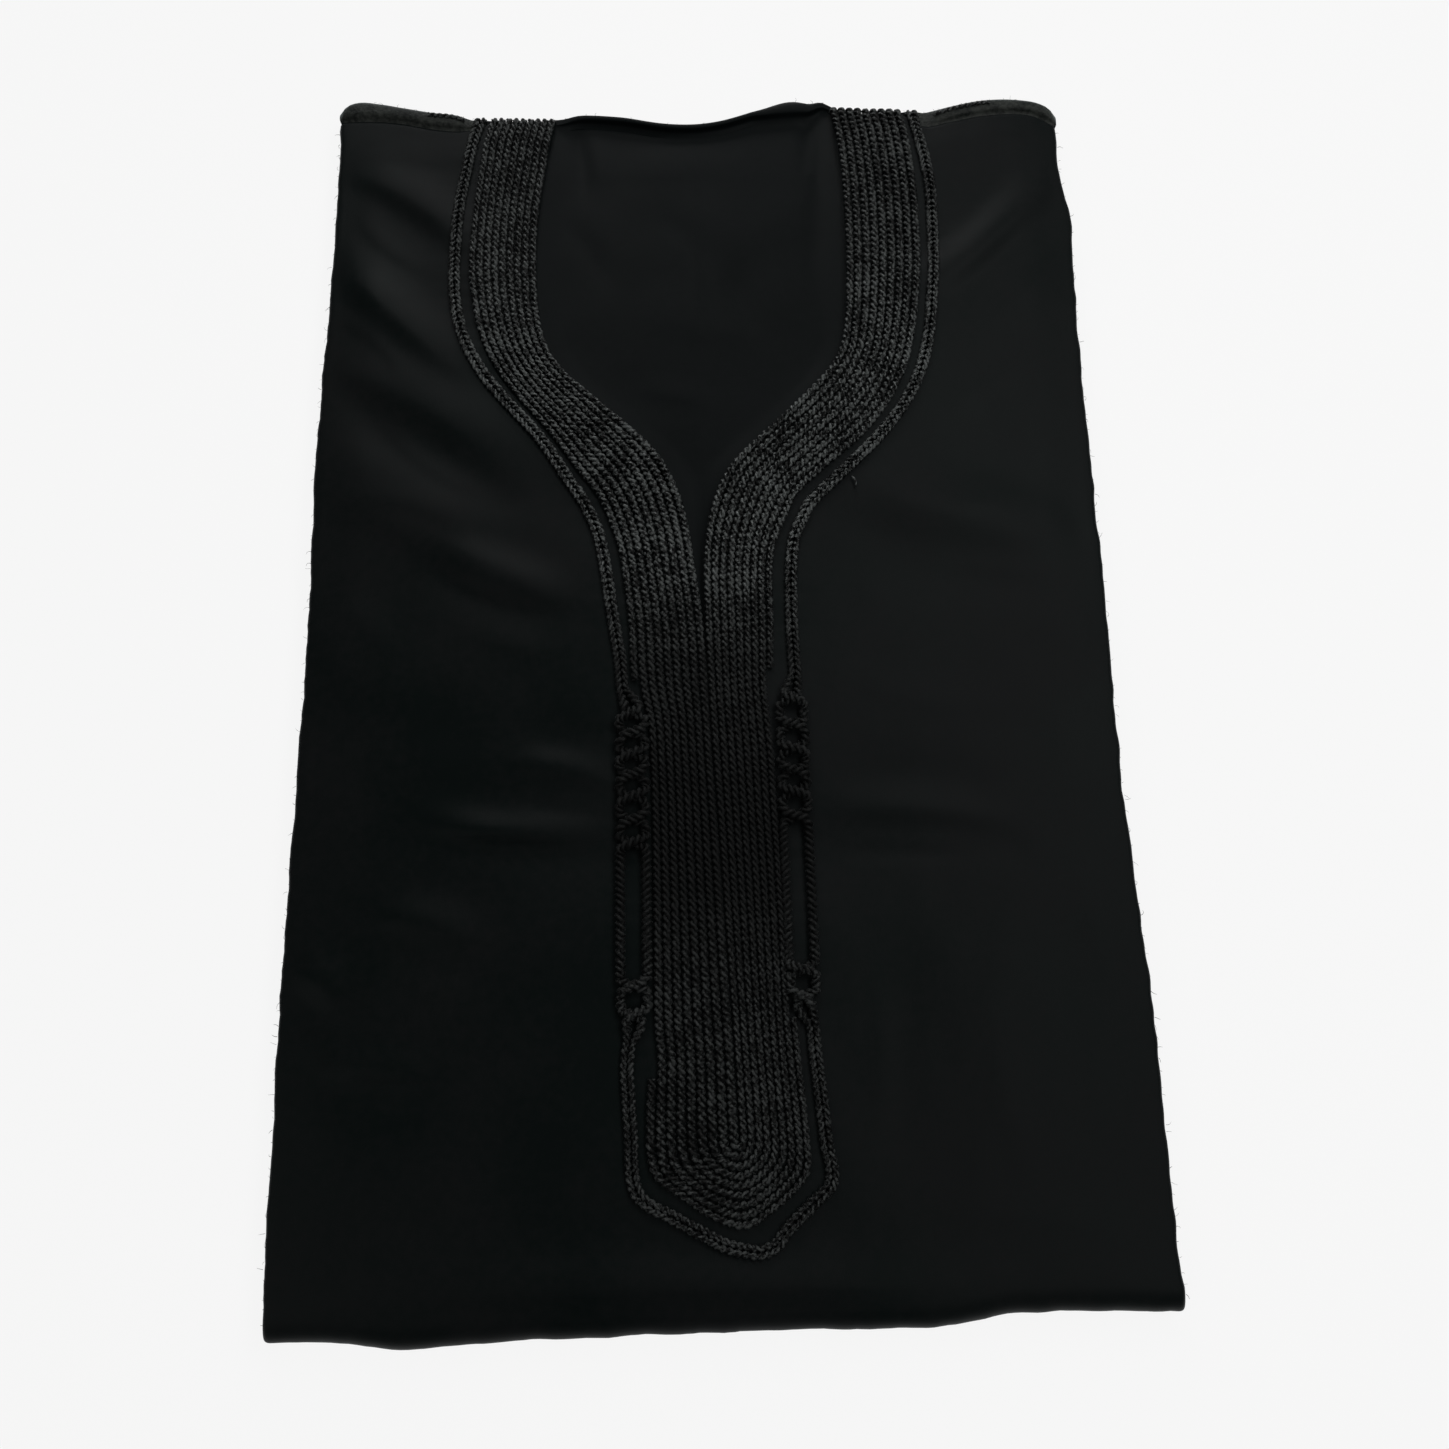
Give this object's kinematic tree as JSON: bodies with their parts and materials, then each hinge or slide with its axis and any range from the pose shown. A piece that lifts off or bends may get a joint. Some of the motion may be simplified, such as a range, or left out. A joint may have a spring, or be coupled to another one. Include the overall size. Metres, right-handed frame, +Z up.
{
  "type": "folded kandora",
  "caption": "Black kandora folded flat into a long packet, with a wide neck opening, a front slit and rows of corded trim.",
  "frame": {"origin": "middle of the packet's outline, on its flat underside", "axes": "+X to the picture's right across the packet, +Y from the bottom fold to the shoulders, +Z up through the layers to the front"},
  "size_m": [0.3798, 0.6042, 0.02],
  "materials": {
    "sateen": "soft black sateen",
    "cord": "twisted black cord"
  },
  "bodies": {
    "root": {"front": "sateen", "back": "sateen", "folded_layers": "sateen", "neck_cord_1": "cord", "neck_cord_2": "cord", "neck_cord_3": "cord", "neck_cord_4": "cord", "neck_cord_5": "cord", "neck_cord_6": "cord", "neck_cord_7": "cord", "neck_cord_8": "cord", "neck_cord_9_left": "cord", "neck_cord_9_right": "cord", "neck_cord_9_tab": "cord", "edge_cord_inner": "cord", "edge_cord_outer": "cord", "shoulder_cord_left": "cord", "shoulder_cord_right": "cord"}
  },
  "joints": []
}
